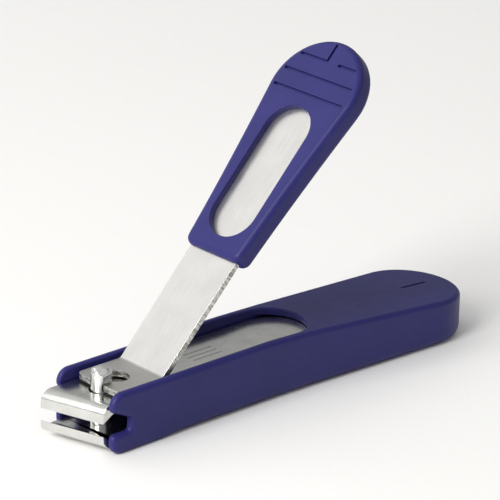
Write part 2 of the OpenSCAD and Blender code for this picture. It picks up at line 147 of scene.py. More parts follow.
class Solid:
    """A closed mesh that is shaped with mesh operators."""

    def __init__(self, bm: BMesh) -> None:
        """Wraps a mesh that is being edited."""
        self.bm = bm

    @classmethod
    def prism(cls, outline: Outline, axis: Axis, low: float, high: float) -> "Solid":
        """Extrudes a flat outline.

        Args:
            outline: Corners in X and Y for Axis.Z, or in X and Z for Axis.Y.
            axis: Direction of the extrusion.
            low: Where it starts along that direction.
            high: Where it ends.

        Returns:
            The closed prism.
        """
        bm = bmesh.new()
        flat = axis is Axis.Z
        following = outline[1:] + outline[:1]
        corners = [here for here, after in zip(outline, following) if math.dist(here, after) > MERGE]
        rim = [bm.verts.new((a, b, low) if flat else (a, low, b)) for a, b in corners]
        grown = bmesh.ops.extrude_face_region(bm, geom=[bm.faces.new(rim)])
        far_side = [item for item in grown["geom"] if isinstance(item, BMVert)]
        bmesh.ops.translate(bm, verts=far_side, vec=axis.value * (high - low))
        bmesh.ops.recalc_face_normals(bm, faces=bm.faces[:])
        return cls(bm)

    @classmethod
    def cutter(cls, outline: Outline, axis: Axis) -> "Solid":
        """Extrudes a flat outline far out both ways."""
        return cls.prism(outline, axis, -FAR, FAR)

    @classmethod
    def turned(cls, profile: Outline) -> "Solid":
        """Spins a profile about Z, as a lathe does.

        Args:
            profile: Radius and height of each corner, from the foot of the axis to its top.

        Returns:
            The closed turned piece.
        """
        bm = bmesh.new()
        line = [bm.verts.new((r, 0, z)) for r, z in profile]
        edges = [bm.edges.new(pair) for pair in zip(line, line[1:])]
        bmesh.ops.spin(
            bm,
            geom=line + edges,
            cent=(0, 0, 0),
            axis=Axis.Z.value,
            angle=math.tau,
            steps=ROUND_STEPS,
            use_merge=True,
        )
        bmesh.ops.remove_doubles(bm, verts=bm.verts[:], dist=MERGE)
        bmesh.ops.recalc_face_normals(bm, faces=bm.faces[:])
        return cls(bm)

    def move(self, x: float, z: float = 0) -> "Solid":
        """Shifts the solid and returns it."""
        bmesh.ops.translate(self.bm, verts=self.bm.verts[:], vec=(x, 0, z))
        return self

    def stretch(self, x: float) -> "Solid":
        """Scales the solid along X about the origin and returns it."""
        bmesh.ops.scale(self.bm, verts=self.bm.verts[:], vec=(x, 1, 1))
        return self

    def turn(self, angle: float, axis: Axis) -> "Solid":
        """Rotates the solid about the origin by an angle in degrees and returns it."""
        turn = Matrix.Rotation(math.radians(angle), 3, axis.value)
        bmesh.ops.rotate(self.bm, verts=self.bm.verts[:], cent=(0, 0, 0), matrix=turn)
        return self

    def split(self, *places: float) -> "Solid":
        """Adds loops of edges across the solid.

        Args:
            places: Where each loop lies along X.

        Returns:
            The solid itself.
        """
        for x in places:
            self._bisect(Axis.X.value * x, Axis.X.value, clear=False)
        return self

    def shave(self, point: Vector, normal: Vector) -> "Solid":
        """Grinds off what lies past a plane and closes the cut.

        Args:
            point: A point on the plane.
            normal: Direction that the plane faces.

        Returns:
            The solid itself.
        """
        rim = [item for item in self._bisect(point, normal, clear=True) if isinstance(item, BMEdge)]
        if rim:
            bmesh.ops.contextual_create(self.bm, geom=rim)
        return self

    def chamfer(self, chosen: Callable[[BMEdge], bool], size: float, segments: int) -> "Solid":
        """Rounds or chamfers some edges by one size.

        Args:
            chosen: Says whether an edge is worked.
            size: Distance from the edge to where the rounding starts.
            segments: Number of faces across it.

        Returns:
            The solid itself.
        """
        edges = [edge for edge in self.bm.edges if chosen(edge)]
        bmesh.ops.bevel(
            self.bm,
            geom=edges,
            offset=size,
            offset_type="OFFSET",
            segments=segments,
            profile=0.5,
            affect="EDGES",
            material=-1,
            clamp_overlap=False,
        )
        return self

    def round_over(self, size_of: Callable[[BMEdge], float], segments: int) -> "Solid":
        """Rounds edges by sizes that may change along them.

        Args:
            size_of: Gives each edge's size, or 0 to leave it sharp.
            segments: Number of faces across a rounding.

        Returns:
            The solid itself.
        """
        weight = self.bm.edges.layers.float.new("bevel_weight_edge")
        sizes = [size_of(edge) for edge in self.bm.edges]
        widest = max(sizes)
        for edge, size in zip(self.bm.edges, sizes):
            edge[weight] = size / widest
        self._modify("BEVEL", limit_method="WEIGHT", width=widest, segments=segments, use_clamp_overlap=False)
        self.bm.edges.layers.float.remove(self.bm.edges.layers.float["bevel_weight_edge"])
        return self

    def ease(self, angle: float, size: float) -> "Solid":
        """Breaks the sharp edges.

        Args:
            angle: Turn between two faces from which their edge is broken, in degrees.
            size: Width of the break.

        Returns:
            The solid itself.
        """
        return self._modify(
            "BEVEL",
            limit_method="ANGLE",
            angle_limit=math.radians(angle),
            width=size,
            segments=2,
            use_clamp_overlap=False,
        )

    def cut(self, *tools: "Solid") -> "Solid":
        """Removes the space of other solids from this one.

        Args:
            tools: The solids to take away.

        Returns:
            The solid itself.
        """
        for tool in tools:
            other = tool._as_object()
            self._modify("BOOLEAN", operation="DIFFERENCE", solver="MANIFOLD", object=other)
            bpy.data.objects.remove(other)
        return self

    def dress(self, is_edge: Callable[[BMFace], bool]) -> "Solid":
        """Chooses the skin of every face.

        Args:
            is_edge: Says whether a face takes Skin.EDGE.

        Returns:
            The solid itself.
        """
        for face in self.bm.faces:
            face.material_index = (Skin.EDGE if is_edge(face) else Skin.FACE).value
        return self

    def _bisect(self, point: Vector, normal: Vector, clear: bool) -> list[Any]:
        """Cuts the mesh along a plane.

        Args:
            point: A point on the plane.
            normal: Direction that the plane faces.
            clear: Whether what lies past the plane is removed.

        Returns:
            The corners and edges on the cut.
        """
        everything = self.bm.verts[:] + self.bm.edges[:] + self.bm.faces[:]
        cut = bmesh.ops.bisect_plane(
            self.bm, geom=everything, plane_co=point, plane_no=normal, clear_outer=clear, dist=ON_PLANE
        )
        return cut["geom_cut"]

    def _as_object(self) -> bpy.types.Object:
        """Puts the mesh on a passing object in the scene.

        Returns:
            The object.
        """
        mesh = bpy.data.meshes.new("passing")
        self.bm.to_mesh(mesh)
        body = bpy.data.objects.new("passing", mesh)
        bpy.context.scene.collection.objects.link(body)
        return body

    def _modify(self, kind: str, **settings: Any) -> "Solid":
        """Applies one modifier.

        Args:
            kind: Type of the modifier.
            settings: Properties of the modifier.

        Returns:
            The solid itself.
        """
        body = self._as_object()
        modifier = body.modifiers.new(kind, kind)
        for name, value in settings.items():
            setattr(modifier, name, value)
        bpy.context.view_layer.update()
        graph = bpy.context.evaluated_depsgraph_get()
        mesh = bpy.data.meshes.new_from_object(body.evaluated_get(graph))
        self.bm.free()
        self.bm = bmesh.new()
        self.bm.from_mesh(mesh)
        bpy.data.objects.remove(body)
        bpy.data.meshes.remove(mesh)
        bmesh.ops.remove_doubles(self.bm, verts=self.bm.verts[:], dist=MERGE)
        bmesh.ops.dissolve_degenerate(self.bm, edges=self.bm.edges[:], dist=MERGE)
        return self


@dataclass(frozen=True)
class Bench:
    """Where the drawings lie in the frame: X is measured back from the pin's axis."""

    pin_x: float

    @classmethod
    def from_frame(cls) -> "Bench":
        """Finds the pin's axis from its CAD box."""
        low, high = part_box("pin")
        return cls(pin_x=(low.x + high.x) / 2 / MM)

    def piece(self, solid: Solid, name: str, skins: Sequence[bpy.types.Material]) -> bpy.types.Object:
        """Makes a finished object from a solid.

        Args:
            solid: The shape, in bench millimetres.
            name: Name of the piece.
            skins: Materials, in the order of Skin.

        Returns:
            The object, at the origin, with its place in its mesh.
        """
        to_frame = Matrix.Scale(MM, 4) @ Matrix.Translation((self.pin_x, 0, 0))
        bmesh.ops.transform(solid.bm, matrix=to_frame, verts=solid.bm.verts[:])
        mesh = bpy.data.meshes.new(name)
        solid.bm.to_mesh(mesh)
        solid.bm.free()
        for skin in skins:
            mesh.materials.append(skin)
        mesh.shade_smooth()
        mesh.set_sharp_from_angle(angle=math.radians(SHARP_ANGLE))
        made = bpy.data.objects.new(name, mesh)
        bpy.context.scene.collection.objects.link(made)
        evening = made.modifiers.new("weighted_normals", "WEIGHTED_NORMAL")
        evening.keep_sharp = True
        bpy.context.view_layer.update()
        graph = bpy.context.evaluated_depsgraph_get()
        made.data = bpy.data.meshes.new_from_object(made.evaluated_get(graph))
        made.modifiers.clear()
        bpy.data.meshes.remove(mesh)
        made.data.name = name
        return made


def seat(made: bpy.types.Object, node: str, body: str) -> None:
    """Puts a piece in place of a CAD node.

    Args:
        made: The finished piece.
        node: CAD node that it stands for.
        body: Body that it moves with.
    """
    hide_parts(node)
    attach(made, body)
    triangles = sum(len(face.vertices) - 2 for face in made.data.polygons)
    log.info("%s rides on %s with %d triangles", made.name, body, triangles)


# ---- Finishes ----


class Signal:
    """A number in a material, on which Python's operators add Math nodes."""

    def __init__(self, shader: "Shader", link: bpy.types.NodeSocket) -> None:
        """Wraps an output socket."""
        self.shader = shader
        self.link = link

    def _math(self, operation: str, *values: "Signal | float") -> "Signal":
        """Adds one Math node and returns its result."""
        made = self.shader.node("ShaderNodeMath", {"operation": operation}, dict(enumerate(values)))
        return Signal(self.shader, made.outputs[0])

    def __add__(self, other: "Signal | float") -> "Signal":
        """Adds."""
        return self._math("ADD", self, other)

    def __radd__(self, other: float) -> "Signal":
        """Adds, with the number on the left."""
        return self._math("ADD", other, self)

    def __sub__(self, other: "Signal | float") -> "Signal":
        """Subtracts."""
        return self._math("SUBTRACT", self, other)

    def __rsub__(self, other: float) -> "Signal":
        """Subtracts from a number."""
        return self._math("SUBTRACT", other, self)

    def __mul__(self, other: "Signal | float") -> "Signal":
        """Multiplies."""
        return self._math("MULTIPLY", self, other)

    def __rmul__(self, other: float) -> "Signal":
        """Multiplies, with the number on the left."""
        return self._math("MULTIPLY", other, self)

    def __abs__(self) -> "Signal":
        """Drops the sign."""
        return self._math("ABSOLUTE", self)

    def step(self, low: float, high: float) -> "Signal":
        """Rises smoothly from 0 to 1, or falls where low is above high.

        Args:
            low: Value at which the result is 0.
            high: Value at which it is 1.

        Returns:
            The result.
        """
        made = self.shader.node(
            "ShaderNodeMapRange",
            {"interpolation_type": "SMOOTHSTEP"},
            {"Value": self, "From Min": low, "From Max": high},
        )
        return Signal(self.shader, made.outputs[0])


class Shader:
    """One material, and the nodes that it is written with."""

    def __init__(self, name: str) -> None:
        """Starts a material with one Principled shader.

        Args:
            name: Name of the material.
        """
        self.material = bpy.data.materials.new(name)
        self.material.use_nodes = True
        self.tree = self.material.node_tree
        self.tree.nodes.clear()
        self.surface = self.tree.nodes.new("ShaderNodeBsdfPrincipled")
        output = self.tree.nodes.new("ShaderNodeOutputMaterial")
        self.tree.links.new(self.surface.outputs[0], output.inputs["Surface"])
        self.place = self.node("ShaderNodeTexCoord", {}, {}).outputs["Object"]

    def node(self, kind: str, settings: dict[str, Any], inputs: dict[Any, Any]) -> bpy.types.Node:
        """Adds a node.

        Args:
            kind: Type of the node.
            settings: Properties of the node, which are set first.
            inputs: Values or links of its sockets, by name or place.

        Returns:
            The node.
        """
        made = self.tree.nodes.new(kind)
        for name, value in settings.items():
            setattr(made, name, value)
        for name, value in inputs.items():
            self.feed(made.inputs[name], value)
        return made

    def feed(self, socket: bpy.types.NodeSocket, value: Any) -> None:
        """Links a socket, or sets its value.

        Args:
            socket: The input socket.
            value: A signal or an output socket to link, or a plain value.
        """
        if isinstance(value, Signal):
            value = value.link
        if isinstance(value, bpy.types.NodeSocket):
            self.tree.links.new(value, socket)
        else:
            socket.default_value = value

    def aligned(self, turn: float) -> bpy.types.NodeSocket:
        """Gives Object coordinates turned about Y, in degrees, so that X runs along a raised piece."""
        turned = {"Vector": self.place, "Rotation": (0, math.radians(turn), 0)}
        return self.node("ShaderNodeMapping", {}, turned).outputs[0]

    def noise(self, per_mm: Place, detail: float = 2, place: Any = None) -> Signal:
        """Adds a noise pattern.

        Args:
            per_mm: Features per millimetre along X, Y and Z.
            detail: Number of finer octaves.
            place: Coordinates, or None for Object coordinates.

        Returns:
            The pattern, from 0 to 1.
        """
        scaled = self.node(
            "ShaderNodeVectorMath",
            {"operation": "MULTIPLY"},
            {0: place or self.place, 1: tuple(value / MM for value in per_mm)},
        )
        made = self.node(
            "ShaderNodeTexNoise", {}, {"Vector": scaled.outputs[0], "Scale": 1.0, "Detail": detail}
        )
        return Signal(self, made.outputs[0])

    def mix(self, share: Signal, low: Any, high: Any) -> bpy.types.NodeSocket:
        """Mixes two colours.

        Args:
            share: How much of the second colour is seen.
            low: First colour, or its link.
            high: Second colour, or its link.

        Returns:
            The mixed colour.
        """
        both = [(*value, 1) if isinstance(value, tuple) else value for value in (low, high)]
        made = self.node("ShaderNodeMix", {"data_type": "RGBA"}, {0: share, 6: both[0], 7: both[1]})
        return made.outputs[2]

    def along(self, axis: str) -> Signal:
        """Gives one Object coordinate, in millimetres."""
        parts = self.node("ShaderNodeSeparateXYZ", {}, {0: self.place})
        return Signal(self, parts.outputs[axis]) * (1 / MM)

    def relief(self, height: Signal, depth: float) -> None:
        """Raises the surface by a height that is given in shares of a depth in millimetres."""
        bump = self.node("ShaderNodeBump", {}, {"Height": height, "Distance": depth * MM})
        self.feed(self.surface.inputs["Normal"], bump.outputs[0])

    def set(self, **sockets: Any) -> None:
        """Feeds the Principled shader's sockets, named with underscores for spaces."""
        for name, value in sockets.items():
            self.feed(self.surface.inputs[name.replace("_", " ")], value)


@dataclass(frozen=True)
class MouldedPlastic:
    """Satin moulded plastic, with a fine grain, faint flow clouds and handling scuffs.

    Each pattern is given as features per millimetre along X, Y and Z.
    """

    name: str
    deep: Colour
    light: Colour
    scuffed: Colour
    roughness: float = 0.36
    specular: float = 0.27
    clouds: Place = (0.05, 0.11, 0.11)
    grain: Place = (5.5, 5.5, 5.5)
    waves: Place = (0.35, 0.5, 0.5)
    scuffs: Place = (0.25, 2.6, 2.6)
    scuff_share: float = 0.2
    depth: float = 0.02

    def build(self) -> bpy.types.Material:
        """Makes the material.

        Returns:
            The material.
        """
        shader = Shader(self.name)
        clouds = shader.noise(self.clouds, detail=4)
        grain = shader.noise(self.grain, detail=2)
        waves = shader.noise(self.waves, detail=3)
        scuffs = shader.noise(self.scuffs, detail=5).step(0.66, 0.74)
        tone = clouds.step(0.3, 0.72) * 0.75 + grain * 0.2
        colour = shader.mix(tone, self.deep, self.light)
        shader.set(
            Base_Color=shader.mix(scuffs * self.scuff_share, colour, self.scuffed),
            Roughness=self.roughness + 0.1 * waves + 0.12 * scuffs + 0.05 * grain,
            Specular_IOR_Level=self.specular,
        )
        shader.relief(grain * 0.6 + waves * 0.4 - scuffs * 0.4, self.depth)
        return shader.material


@dataclass(frozen=True)
class BrushedSteel:
    """Steel with a fine grain along one direction, faint blotches and a few deeper scratches.

    Each pattern is given as features per millimetre along X, Y and Z, the grain's before it is turned.
    """

    name: str
    dark: Colour
    bright: Colour
    grain: Place
    blotches: Place = (0.22, 0.22, 0.22)
    nicks: Place = (1.3, 1.7, 1.3)
    turn: float = 0
    roughness: float = 0.25
    depth: float = 0.004
    streak_rough: float = 0.14
    blotch_rough: float = 0.08
    nick_rough: float = 0.08

    def build(self) -> bpy.types.Material:
        """Makes the material."""
        return self.shader().material

    def shader(self) -> Shader:
        """Makes the shader, to which a mark can still be added.

        Returns:
            The shader.
        """
        shader = Shader(self.name)
        place = shader.aligned(self.turn)
        streaks = shader.noise(self.grain, detail=4, place=place)
        fine = shader.noise(tuple(3 * value for value in self.grain), detail=2, place=place)
        blotches = shader.noise(self.blotches, detail=3)
        nicks = shader.noise(self.nicks, detail=6).step(0.7, 0.76)
        tone = streaks * 0.55 + blotches * 0.45
        shader.set(
            Base_Color=shader.mix(tone.step(0.3, 0.7), self.dark, self.bright),
            Metallic=1.0,
            Roughness=self.roughness
            + self.streak_rough * (streaks - 0.5)
            + self.blotch_rough * (blotches - 0.5)
            + self.nick_rough * nicks,
        )
        shader.relief(streaks * 0.5 + fine * 0.4 - nicks * 0.5, self.depth)
        return shader


@dataclass(frozen=True)
class EtchedSteel:
    """Brushed steel with a plain mark of three etched bars."""

    steel: BrushedSteel
    centre: float
    length: float = 7.0
    pitch: float = 1.5
    bar: float = 0.45
    soft: float = 0.08
    soft_end: float = 0.1
    frost: Colour = (0.16, 0.16, 0.15)
    frost_grain: Place = (7, 7, 7)
    frost_share: float = 0.9
    frost_rough: float = 0.5

    def build(self) -> bpy.types.Material:
        """Makes the material.

        Returns:
            The material.
        """
        shader = self.steel.shader()
        lengthwise = abs(shader.along("X") - self.centre)
        inside = lengthwise.step(self.length / 2 + self.soft_end, self.length / 2)
        across = shader.along("Y")
        mark = 0.0
        for row in (-1, 0, 1):
            offset = abs(across - row * self.pitch)
            mark = offset.step(self.bar / 2 + self.soft, self.bar / 2 - self.soft) + mark
        frosted = shader.noise(self.frost_grain) * inside * mark
        colour = shader.surface.inputs["Base Color"].links[0].from_socket
        rough = Signal(shader, shader.surface.inputs["Roughness"].links[0].from_socket)
        shader.set(
            Base_Color=shader.mix(frosted * self.frost_share, colour, self.frost),
            Roughness=rough + self.frost_rough * frosted,
        )
        return shader.material


@dataclass(frozen=True)
class ShearedSteel:
    """The cut edge of sheet steel: close tear lines across it, with dark pits."""

    name: str
    dark: Colour
    bright: Colour
    tears: Place = (2.6, 0.6, 0.6)
    pits: Place = (4.5, 4.5, 3.0)
    turn: float = 0
    roughness: float = 0.3
    depth: float = 0.06

    def build(self) -> bpy.types.Material:
        """Makes the material.

        Returns:
            The material.
        """
        shader = Shader(self.name)
        place = shader.aligned(self.turn)
        tears = shader.noise(self.tears, detail=4, place=place)
        pits = shader.noise(self.pits, detail=3, place=place)
        tone = tears.step(0.38, 0.62) * 0.65 + pits.step(0.35, 0.65) * 0.35
        shader.set(
            Base_Color=shader.mix(tone, self.dark, self.bright),
            Metallic=1.0,
            Roughness=self.roughness + 0.25 * pits,
        )
        shader.relief(tears * 0.7 + pits * 0.3, self.depth)
        return shader.material


@dataclass(frozen=True)
class Finishes:
    """Every finish of the clipper, made once."""

    plastic: bpy.types.Material
    blade: bpy.types.Material
    etched_blade: bpy.types.Material
    lever: bpy.types.Material
    lever_edge: bpy.types.Material
    bright: bpy.types.Material

    @classmethod
    def make(cls, mark_x: float, arm_angle: float) -> "Finishes":
        """Makes the finishes.

        Args:
            mark_x: Middle of the etched mark along the frame's X, in millimetres.
            arm_angle: Angle of the raised arm, which its grain follows, in degrees.

        Returns:
            The finishes.
        """
        blade = BrushedSteel(
            name="blade_steel",
            dark=(0.56, 0.56, 0.54),
            bright=(0.74, 0.74, 0.72),
            grain=(0.35, 6, 6),
            roughness=0.24,
        )
        etched = EtchedSteel(replace(blade, name="etched_blade_steel", roughness=0.2), mark_x)
        lever = BrushedSteel(
            name="lever_steel",
            dark=(0.6, 0.59, 0.57),
            bright=(0.68, 0.67, 0.65),
            grain=(0.12, 4, 4),
            turn=arm_angle,
            roughness=0.34,
            depth=0.002,
        )
        lever_edge = ShearedSteel(
            name="sheared_steel", dark=(0.2, 0.2, 0.18), bright=(0.78, 0.78, 0.75), turn=arm_angle
        )
        bright = BrushedSteel(
            name="turned_steel",
            dark=(0.7, 0.7, 0.68),
            bright=(0.9, 0.9, 0.88),
            grain=(1.1, 1.1, 5),
            roughness=0.22,
            depth=0.02,
        )
        plastic = MouldedPlastic(
            name="moulded_plastic",
            deep=(0.017, 0.016, 0.118),
            light=(0.024, 0.022, 0.145),
            scuffed=(0.07, 0.065, 0.22),
        )
        made = (finish.build() for finish in (plastic, blade, etched, lever, lever_edge, bright))
        return cls(*made)


# ---- The case ----


@dataclass
class CatcherCase:
    """Moulded case: two side walls with rounded lobes in front, a floor, a roof and a round tail."""

    front_x: float = -4.2
    deck_end_x: float = 34.8
    flare_x: float = 45.8
    tail_x: float = 89.1
    front_half: float = 8.5
    flare_half: float = 8.8
    tail_half: float = 10.4
    deck_h: float = 11.9
    flare_h: float = 11.45
    tail_h: float = 8.6
    bay_half: float = 6.85
    bay_end_x: float = 65.0
    tunnel_lap: float = 4.0
    window_x: float = 42.15
    floor_x: float = 8.7
    floor_t: float = 1.3
    roof_t: float = 1.2
    inner_round: float = 0.45
    rim_round: float = 0.95
    foot_round: float = 2.1
    foot_start_x: float = 1.0
    foot_mid_x: float = 9.0
    foot_mid_growth: float = 1.4
    foot_full_x: float = 13.0
    foot_loops: tuple[float, ...] = (3, 5, 7, 9, 11, 12, 13)
    lobe_r: float = 2.6
    lobe_tip_r: float = 1.1
    foot_r: float = 2.2
    foot_tip_r: float = 1.1
    notch_x: float = 0.2
    notch_r: float = 0.9
    notch_low: float = 3.95
    notch_high: float = 8.2
    notch_slope: float = 1.3
    groove: float = 0.55
    groove_l: float = 7.5
    groove_depth: float = 0.5
    groove_ahead: float = 2.5
    groove_front_point: float = 1.5
    groove_rear_point: float = 0.5

    @property
    def tail_centre_x(self) -> float:
        """Gives the middle of the round tail."""
        return self.tail_x - self.tail_half

    @property
    def side(self) -> list[tuple[float, float]]:
        """Gives the half width along the straight parts of the sides."""
        corners = [(self.deck_end_x, self.front_half), (self.flare_x, self.flare_half)]
        return [*corners, (self.tail_centre_x, self.tail_half)]

    def top(self, x: float) -> float:
        """Gives the height of the case's top at x."""
        table = [(self.deck_end_x, self.deck_h), (self.flare_x, self.flare_h), (self.tail_x, self.tail_h)]
        return lookup(x, table)

    def plan(self) -> Outline:
        """Draws the case from above, with sides tangent to the round tail.

        Returns:
            The outline, which begins a little ahead of the case's front.
        """
        centre_x = self.tail_centre_x
        reach = math.hypot(centre_x - self.flare_x, self.flare_half)
        lean = math.asin(self.tail_half / reach) - math.atan2(self.flare_half, centre_x - self.flare_x)
        tangent = 90 + math.degrees(lean)
        half = [
            (self.front_x - 1, self.front_half),
            (self.deck_end_x, self.front_half),
            (self.flare_x, self.flare_half),
            *arc((centre_x, 0), self.tail_half, tangent, 0, 30),
        ]
        return mirrored(half)

    def front_space(self) -> Outline:
        """Draws the space ahead of the lobes and the finger notch, from the side.

        Returns:
            The outline in X and Z.
        """
        foot_x = self.front_x + self.foot_r
        foot_tip = (self.front_x + self.foot_tip_r, self.notch_low - self.foot_tip_r)
        notch_x = self.notch_x - self.notch_r
        notch_top = (notch_x, self.notch_high - self.notch_slope - self.notch_r)
        lobe_tip = (self.front_x + self.lobe_tip_r, self.notch_high + self.lobe_tip_r)
        lobe_x = self.front_x + self.lobe_r
        return [
            (-FAR, -1),
            (foot_x, -1),
            *arc((foot_x, self.foot_r), self.foot_r, 270, 180, 8),
            *arc(foot_tip, self.foot_tip_r, 180, 90, 5),
            *arc((notch_x, self.notch_low + self.notch_r), self.notch_r, 270, 360, 5),
            *arc(notch_top, self.notch_r, 0, 70, 5),
            *arc(lobe_tip, self.lobe_tip_r, 250, 180, 5),
            *arc((lobe_x, self.deck_h - self.lobe_r), self.lobe_r, 180, 90, 9),
            (lobe_x, self.deck_h + 2),
            (-FAR, self.deck_h + 2),
        ]

    def shell(self) -> Solid:
        """Makes the outside, with its lobes cut and its long edges rounded.

        Returns:
            The solid outside.
        """
        body = Solid.prism(self.plan(), Axis.Z, 0, self.deck_h).split(self.deck_end_x, self.flare_x)
        for vert in body.bm.verts:
            if vert.co.z > self.deck_h / 2:
                vert.co.z = self.top(vert.co.x)
        body.dress(lambda face: abs(face.normal.z) < 0.5 and face.calc_center_median().x > 0)
        body.cut(Solid.cutter(self.front_space(), Axis.Y))
        body.chamfer(self._is_outer_rim, self.rim_round, segments=6)
        body.split(*self.foot_loops)
        for vert in body.bm.verts:
            if vert.co.z < self.rim_round + NEAR and vert.co.x > self.foot_start_x:
                self._widen(vert)
        return body

    def _is_outer_rim(self, edge: BMEdge) -> bool:
        """Says whether an edge runs between the sides and the top, the front or the bottom."""
        return len({face.material_index for face in edge.link_faces}) == 2

    def _is_inner_rim(self, edge: BMEdge) -> bool:
        """Says whether an edge is the rim of the bay, on its top or round the lobes.

        Args:
            edge: An edge of the hollow case.

        Returns:
            True if it is.
        """
        reach = 0.1
        for vert in edge.verts:
            x, y, z = vert.co
            on_top = z > self.top(x) - reach
            on_lobe = z > NEAR and x < self.notch_x + reach
            if abs(y) > self.bay_half + reach or not (on_top or on_lobe):
                return False
        return edge.calc_face_angle(0) > math.radians(40)

    def _widen(self, vert: BMVert) -> None:
        """Scales the rounding of the bottom rim, from its size in front to its full size behind.

        Args:
            vert: A corner of the rounding, which moves in and up.
        """
        growth = self.foot_round / self.rim_round
        x = vert.co.x
        wider = lookup(
            x, [(self.foot_start_x, 1), (self.foot_mid_x, self.foot_mid_growth), (self.foot_full_x, growth)]
        )
        middle = 1.0
        spoke = vert.co.xy - Vector((self.tail_centre_x, 0))
        if x > self.tail_centre_x and spoke.length > middle:
            reach = self.tail_half - (self.tail_half - spoke.length) * wider
            vert.co.xy += spoke.normalized() * (reach - spoke.length)
        elif x <= self.tail_centre_x and abs(vert.co.y) > middle:
            half = lookup(x, self.side)
            vert.co.y = math.copysign(half - (half - abs(vert.co.y)) * wider, vert.co.y)
        vert.co.z *= wider

    def hollows(self) -> list[Solid]:
        """Makes the spaces inside.

        Returns:
            The open bay, which is deeper ahead of the floor, and the tunnel behind it.
        """
        half = self.bay_half
        window = mirrored([(-FAR, half), *arc((self.window_x, 0), half, 90, 0, 24)])
        floor = rectangle(self.floor_x, -2 * FAR, 2 * FAR, self.floor_t)
        bay = Solid.cutter(window, Axis.Z).cut(Solid.cutter(floor, Axis.Y))
        start, end = self.window_x - self.tunnel_lap, self.bay_end_x
        ceiling = [(x, self.top(x) - self.roof_t) for x in (end, start)]
        tunnel = [(start, self.floor_t), (end, self.floor_t), *ceiling]
        return [bay, Solid.prism(tunnel, Axis.Y, -half, half)]

    def tail_groove(self) -> Solid:
        """Makes the cutter of the short groove on the tail's top.

        Returns:
            The cutter, which is pointed at both ends.
        """
        start = self.tail_centre_x - self.groove_ahead
        end = start + self.groove_l
        half = self.groove / 2
        shoulders = [(start + self.groove_front_point, half), (end - self.groove_rear_point, half)]
        plan = mirrored([(start, 0), *shoulders, (end, 0)])[:-1]
        return Solid.prism(plan, Axis.Z, self.top(end) - self.groove_depth, FAR)

    def build(self, bench: Bench, finishes: Finishes) -> None:
        """Models the case and puts it in place.

        Args:
            bench: Where the drawings lie in the frame.
            finishes: The clipper's finishes.
        """
        body = self.shell().cut(*self.hollows()).dress(lambda face: False)
        body.chamfer(self._is_inner_rim, self.inner_round, segments=4)
        body.cut(self.tail_groove())
        seat(bench.piece(body, "catcher_case", [finishes.plastic]), "case", "case")


# ---- The blades, the rivet and the pin ----


@dataclass
class Blade:
    """Spring steel strip whose front is bent into a jaw with a slanted, ground edge."""

    name: str
    node: str
    body: str
    up: float
    outer: Outline
    edge_z: float
    pin_bore: float
    half: float = 6.5
    thickness: float = 1.6
    slant: float = 17.5
    slant_l: float = 3.6
    edge_x: float = -7.0
    edge_flat: float = 0.1
    face_lean: float = 0.12
    brow: float = 0.75
    throat: float = 1.85
    root: float = 2.9
    ground_l: float = 1.2
    rivet_x: float = 60.7
    rivet_bore: float = 1.58
    bend: float = 1.5
    rear_corner: float = 2.5
    edge_break: float = 0.09

    @property
    def front_z(self) -> float:
        """Gives the height of the jaw's outer face."""
        return self.outer[0][1]

    @property
    def stretch(self) -> float:
        """Gives how much longer a section along X is than one square to the slanted edge."""
        return 1 / math.cos(math.radians(self.slant))

    def outline(self) -> Outline:
        """Draws the blade from the side.

        Returns:
            The outline in X and Z, from the cutting edge round the outer face.
        """
        depth = abs(self.edge_z - self.front_z)

        def jaw(behind: float, down: float) -> tuple[float, float]:
            """Gives a point of the jaw from its distances behind the edge and below the outer face."""
            return self.edge_x + behind * self.stretch, self.front_z - self.up * down

        return [
            jaw(0, depth),
            jaw(self.face_lean, depth / 2),
            jaw(self.brow, 0),
            *self.outer,
            *[(x, z - self.up * self.thickness) for x, z in reversed(self.outer)],
            jaw(self.root, self.thickness),
            jaw(self.throat, depth - self.ground_l),
            jaw(self.edge_flat, depth),
        ]

    def build(self, bench: Bench, skins: Sequence[bpy.types.Material]) -> None:
        """Models the blade and puts it in place.

        Args:
            bench: Where the drawings lie in the frame.
            skins: Materials of its faces and of its cut sides.
        """
        strip = Solid.prism(self.outline(), Axis.Y, -self.half, self.half)
        strip.split(self.edge_x + self.slant_l)
        lean = math.tan(math.radians(self.slant))
        for vert in strip.bm.verts:
            if vert.co.x < self.edge_x + self.slant_l - NEAR:
                vert.co.x -= vert.co.y * lean
        strip.chamfer(lambda edge: self._is_bend(edge, lean), self.bend, segments=5)
        strip.chamfer(lambda edge: stands_at(edge, self.outer[-1][0]), self.rear_corner, segments=1)
        bores = ((0.0, self.pin_bore), (self.rivet_x, self.rivet_bore))
        strip.cut(*[Solid.cutter(circle(x, radius), Axis.Z) for x, radius in bores])
        strip.dress(lambda face: abs(face.normal.y) > 0.9)
        strip.ease(angle=45, size=self.edge_break)
        seat(bench.piece(strip, self.name, skins), self.node, self.body)

    def _is_bend(self, edge: BMEdge, lean: float) -> bool:
        """Says whether an edge is the jaw's outer bend.

        Args:
            edge: An edge of the slanted strip.
            lean: How far the jaw leans along X for each millimetre across.

        Returns:
            True if it is.
        """
        bend_x = self.edge_x + self.brow * self.stretch
        places = [vert.co for vert in edge.verts]
        return all(abs(p.x + p.y * lean - bend_x) < NEAR and abs(p.z - self.front_z) < NEAR for p in places)


